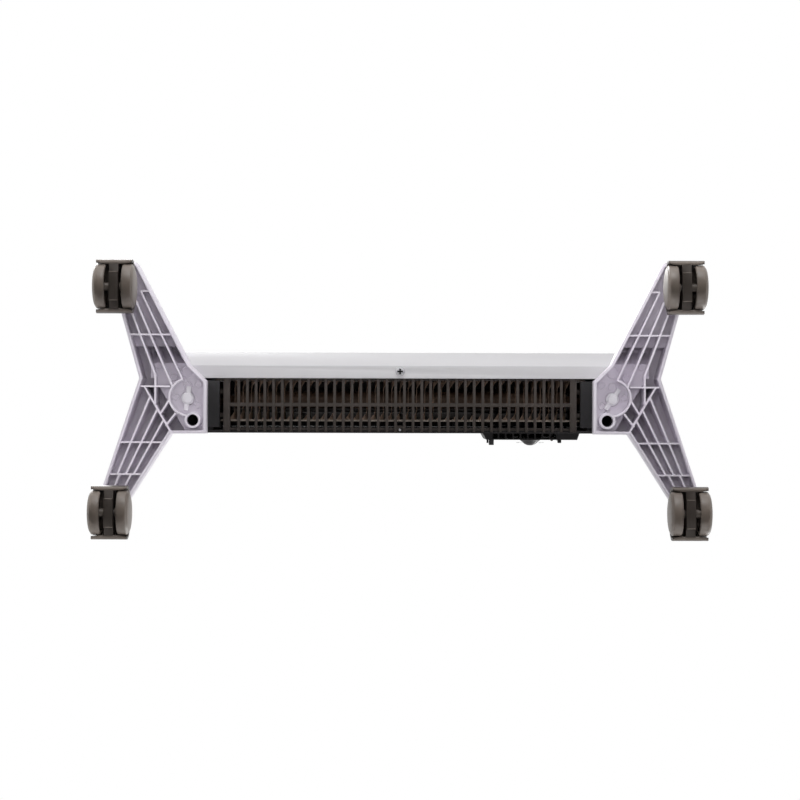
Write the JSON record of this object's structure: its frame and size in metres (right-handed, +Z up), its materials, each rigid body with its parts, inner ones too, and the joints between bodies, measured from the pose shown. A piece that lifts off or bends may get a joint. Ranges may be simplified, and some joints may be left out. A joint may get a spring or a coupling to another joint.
{
  "type": "convector heater",
  "caption": "Freestanding convector heater: slim panel body with intake grille, finned element and rear controls, on two ribbed feet with swivelling twin-wheel casters.",
  "frame": {"origin": "on the floor, under the middle of the heater's footprint", "axes": "+Z up; +X along the heater's width, towards the end with the control box; -Y is the way the front panel faces"},
  "size_m": [0.561, 0.2518, 0.43],
  "materials": {
    "panel_enamel": "satin",
    "housing_plastic": "matte",
    "grille_plastic": "matte",
    "block_plastic": "matte",
    "foot_plastic": "satin",
    "zinc_steel": "satin",
    "caster_plastic": "satin",
    "wheel_plastic": "satin",
    "fin_aluminium": "satin",
    "element_steel": "satin",
    "sheet_steel": "satin",
    "rocker_plastic": "gloss",
    "lens_amber": "gloss",
    "bush_rubber": "matte",
    "wire_insulation": "matte",
    "pendulum_brass": "satin",
    "bright_screw": "polished"
  },
  "bodies": {
    "heater": {"front_panel": "panel_enamel", "rear_housing": "housing_plastic", "base_grille": "grille_plastic", "top_grille": "grille_plastic", "end_block_left": "block_plastic", "end_block_right": "block_plastic", "foot_left": "foot_plastic", "foot_right": "foot_plastic", "caster_stems": "zinc_steel", "heater_fins": "fin_aluminium", "heater_tube": "element_steel", "element_bracket_left": "sheet_steel", "element_bracket_right": "sheet_steel", "front_shield": "sheet_steel", "rear_shield": "sheet_steel", "control_box": "housing_plastic", "thermostat": "block_plastic", "switch_body": "housing_plastic", "pilot_lens": "lens_amber", "cord_bush": "bush_rubber", "terminal_block": "block_plastic", "lead_wires": "wire_insulation", "thermal_cutout": "block_plastic", "tip_bracket": "sheet_steel", "tip_microswitch": "block_plastic", "panel_screw": "bright_screw", "grille_screw": "bright_screw", "housing_screws": "zinc_steel", "control_screws": "zinc_steel"},
    "wing_screw_left": {"wing_screw_left": "foot_plastic"},
    "wing_screw_right": {"wing_screw_right": "foot_plastic"},
    "caster_fl": {"caster_frame_fl": "caster_plastic", "caster_axle_fl": "zinc_steel"},
    "caster_fr": {"caster_frame_fr": "caster_plastic", "caster_axle_fr": "zinc_steel"},
    "caster_rl": {"caster_frame_rl": "caster_plastic", "caster_axle_rl": "zinc_steel"},
    "caster_rr": {"caster_frame_rr": "caster_plastic", "caster_axle_rr": "zinc_steel"},
    "wheel_fl_outer": {"wheel_fl_outer": "wheel_plastic"},
    "wheel_fl_inner": {"wheel_fl_inner": "wheel_plastic"},
    "wheel_fr_outer": {"wheel_fr_outer": "wheel_plastic"},
    "wheel_fr_inner": {"wheel_fr_inner": "wheel_plastic"},
    "wheel_rl_outer": {"wheel_rl_outer": "wheel_plastic"},
    "wheel_rl_inner": {"wheel_rl_inner": "wheel_plastic"},
    "wheel_rr_outer": {"wheel_rr_outer": "wheel_plastic"},
    "wheel_rr_inner": {"wheel_rr_inner": "wheel_plastic"},
    "thermostat_knob": {"thermostat_knob": "housing_plastic"},
    "power_paddle": {"power_paddle": "rocker_plastic"},
    "tip_pendulum": {"tip_pendulum": "pendulum_brass"}
  },
  "joints": [
    {"name": "swivel_fl", "type": "hinge", "parent": "heater", "child": "caster_fl", "pos_m": [-0.2567, -0.1016, 0.046], "axis": [0, 0, 1], "continuous": true},
    {"name": "roll_fl_outer", "type": "hinge", "parent": "caster_fl", "child": "wheel_fl_outer", "pos_m": [-0.2567, -0.1016, 0.02], "axis": [1, 0, 0], "continuous": true},
    {"name": "roll_fl_inner", "type": "hinge", "parent": "caster_fl", "child": "wheel_fl_inner", "pos_m": [-0.2567, -0.1016, 0.02], "axis": [1, 0, 0], "continuous": true},
    {"name": "swivel_fr", "type": "hinge", "parent": "heater", "child": "caster_fr", "pos_m": [0.2567, -0.1016, 0.046], "axis": [0, 0, 1], "continuous": true},
    {"name": "roll_fr_outer", "type": "hinge", "parent": "caster_fr", "child": "wheel_fr_outer", "pos_m": [0.2567, -0.1016, 0.02], "axis": [1, 0, 0], "continuous": true},
    {"name": "roll_fr_inner", "type": "hinge", "parent": "caster_fr", "child": "wheel_fr_inner", "pos_m": [0.2567, -0.1016, 0.02], "axis": [1, 0, 0], "continuous": true},
    {"name": "swivel_rl", "type": "hinge", "parent": "heater", "child": "caster_rl", "pos_m": [-0.2608, 0.1016, 0.046], "axis": [0, 0, 1], "continuous": true},
    {"name": "roll_rl_outer", "type": "hinge", "parent": "caster_rl", "child": "wheel_rl_outer", "pos_m": [-0.2608, 0.1016, 0.02], "axis": [1, 0, 0], "continuous": true},
    {"name": "roll_rl_inner", "type": "hinge", "parent": "caster_rl", "child": "wheel_rl_inner", "pos_m": [-0.2608, 0.1016, 0.02], "axis": [1, 0, 0], "continuous": true},
    {"name": "swivel_rr", "type": "hinge", "parent": "heater", "child": "caster_rr", "pos_m": [0.2608, 0.1016, 0.046], "axis": [0, 0, 1], "continuous": true},
    {"name": "roll_rr_outer", "type": "hinge", "parent": "caster_rr", "child": "wheel_rr_outer", "pos_m": [0.2608, 0.1016, 0.02], "axis": [1, 0, 0], "continuous": true},
    {"name": "roll_rr_inner", "type": "hinge", "parent": "caster_rr", "child": "wheel_rr_inner", "pos_m": [0.2608, 0.1016, 0.02], "axis": [1, 0, 0], "continuous": true},
    {"name": "thermostat_turn", "type": "hinge", "parent": "heater", "child": "thermostat_knob", "pos_m": [0.136, 0.0403, 0.34968], "axis": [0, -1, 0], "range_deg": [0, 270]},
    {"name": "paddle_press", "type": "hinge", "parent": "heater", "child": "power_paddle", "pos_m": [0.166, 0.0383, 0.34468], "axis": [1, 0, 0], "range_deg": [-16, 0]},
    {"name": "tip_swing", "type": "hinge", "parent": "heater", "child": "tip_pendulum", "pos_m": [-0.179, 0.013, 0.102], "axis": [1, 0, 0], "range_deg": [-20, 20]},
    {"name": "wing_turn_left", "type": "hinge", "parent": "heater", "child": "wing_screw_left", "pos_m": [-0.1946, -0.0012, 0.06], "axis": [0, 0, 1], "continuous": true},
    {"name": "wing_turn_right", "type": "hinge", "parent": "heater", "child": "wing_screw_right", "pos_m": [0.1946, -0.0012, 0.06], "axis": [0, 0, 1], "continuous": true}
  ]
}
